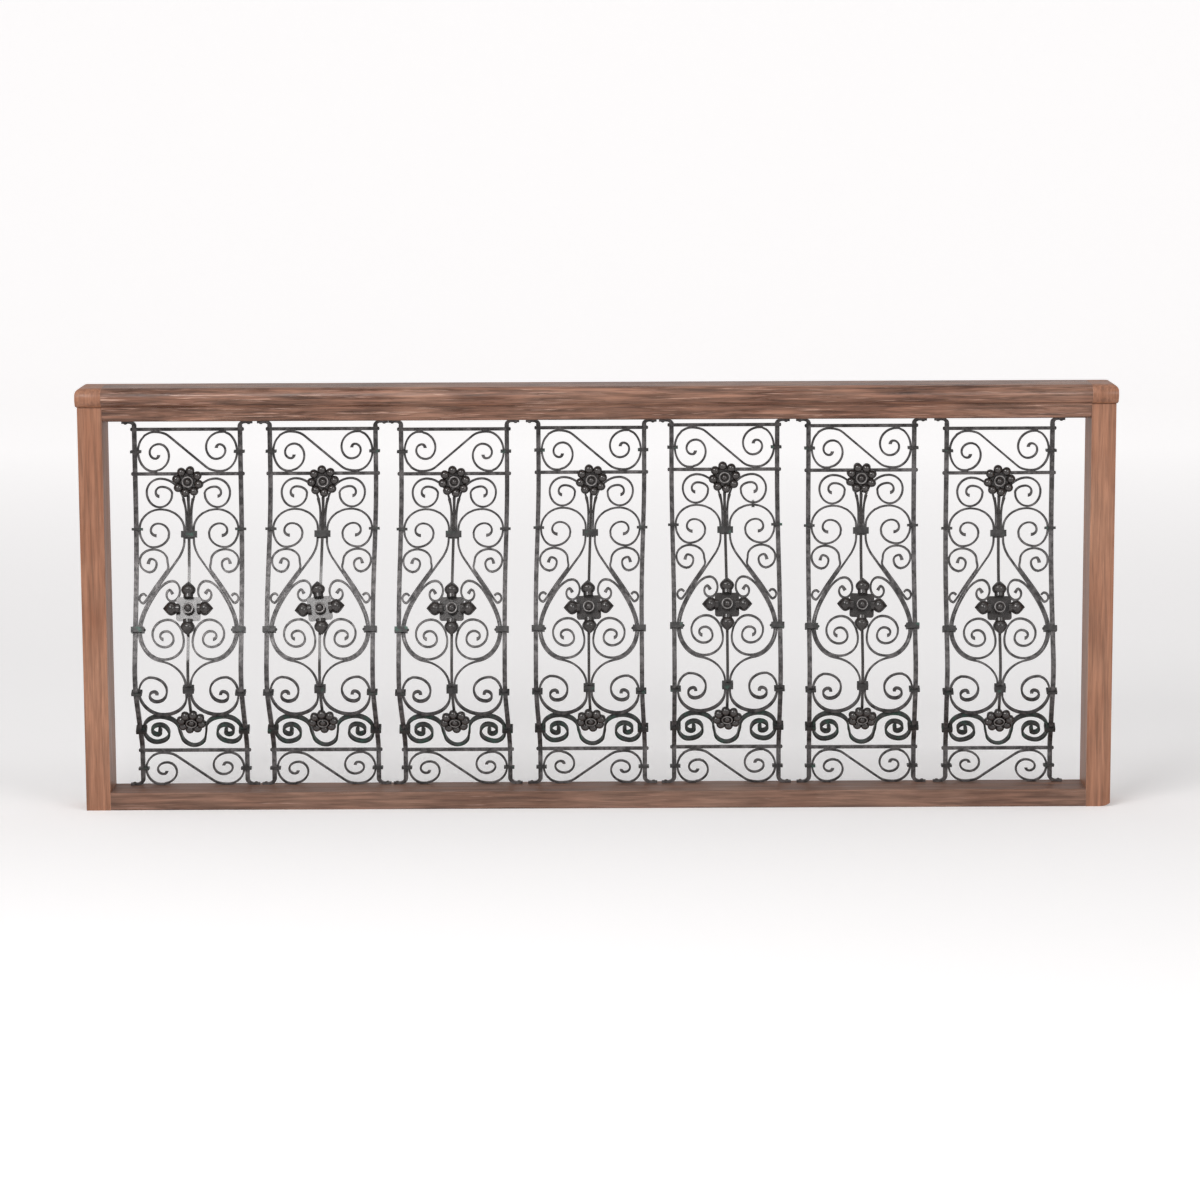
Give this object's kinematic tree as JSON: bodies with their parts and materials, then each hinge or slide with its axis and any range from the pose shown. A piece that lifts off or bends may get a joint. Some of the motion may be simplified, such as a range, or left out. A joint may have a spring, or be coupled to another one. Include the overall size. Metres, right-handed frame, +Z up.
{
  "type": "framed iron panel",
  "caption": "Pot-bellied wrought-iron grilles with scrolls, rosettes and pointed-bud flowers, standing side by side in a weathered timber frame with a half-round nosing along its head.",
  "frame": {"origin": "middle of the timber frame's underside, halfway along its length and halfway through its depth", "axes": "+X to the right along the frame seen from its front, +Y from the front to the back, +Z up; the grilles' bellies stand forward, towards -Y"},
  "size_m": [2.206, 0.1237, 0.91],
  "materials": {
    "newer_wood": "smooth orange-brown",
    "old_wood": "weathered dark brown, worn edges",
    "bar_iron": "worn dark grey",
    "strap_iron": "worn dark grey",
    "wave_iron": "dark grey with remnants of green paint",
    "flower_iron": "glossy brown-black",
    "collar_iron": "worn dark grey",
    "screws": "dull dark steel",
    "wire": "dull wire"
  },
  "bodies": {
    "root": {"left_stile": "newer_wood", "right_stile": "newer_wood", "top_rail": "old_wood", "bottom_rail": "old_wood", "foot_screws": "screws", "wire_tie": "wire", "grille_1_bars": "bar_iron", "grille_1_box_scrolls": "strap_iron", "grille_1_lyre_scrolls": "strap_iron", "grille_1_inner_scrolls": "strap_iron", "grille_1_wave_scroll": "wave_iron", "grille_1_flowers": "flower_iron", "grille_1_collars": "collar_iron", "grille_2_bars": "bar_iron", "grille_2_box_scrolls": "strap_iron", "grille_2_lyre_scrolls": "strap_iron", "grille_2_inner_scrolls": "strap_iron", "grille_2_wave_scroll": "wave_iron", "grille_2_flowers": "flower_iron", "grille_2_collars": "collar_iron", "grille_3_bars": "bar_iron", "grille_3_box_scrolls": "strap_iron", "grille_3_lyre_scrolls": "strap_iron", "grille_3_inner_scrolls": "strap_iron", "grille_3_wave_scroll": "wave_iron", "grille_3_flowers": "flower_iron", "grille_3_collars": "collar_iron", "grille_4_bars": "bar_iron", "grille_4_box_scrolls": "strap_iron", "grille_4_lyre_scrolls": "strap_iron", "grille_4_inner_scrolls": "strap_iron", "grille_4_wave_scroll": "wave_iron", "grille_4_flowers": "flower_iron", "grille_4_collars": "collar_iron", "grille_5_bars": "bar_iron", "grille_5_box_scrolls": "strap_iron", "grille_5_lyre_scrolls": "strap_iron", "grille_5_inner_scrolls": "strap_iron", "grille_5_wave_scroll": "wave_iron", "grille_5_flowers": "flower_iron", "grille_5_collars": "collar_iron", "grille_6_bars": "bar_iron", "grille_6_box_scrolls": "strap_iron", "grille_6_lyre_scrolls": "strap_iron", "grille_6_inner_scrolls": "strap_iron", "grille_6_wave_scroll": "wave_iron", "grille_6_flowers": "flower_iron", "grille_6_collars": "collar_iron", "grille_7_bars": "bar_iron", "grille_7_box_scrolls": "strap_iron", "grille_7_lyre_scrolls": "strap_iron", "grille_7_inner_scrolls": "strap_iron", "grille_7_wave_scroll": "wave_iron", "grille_7_flowers": "flower_iron", "grille_7_collars": "collar_iron"}
  },
  "joints": []
}
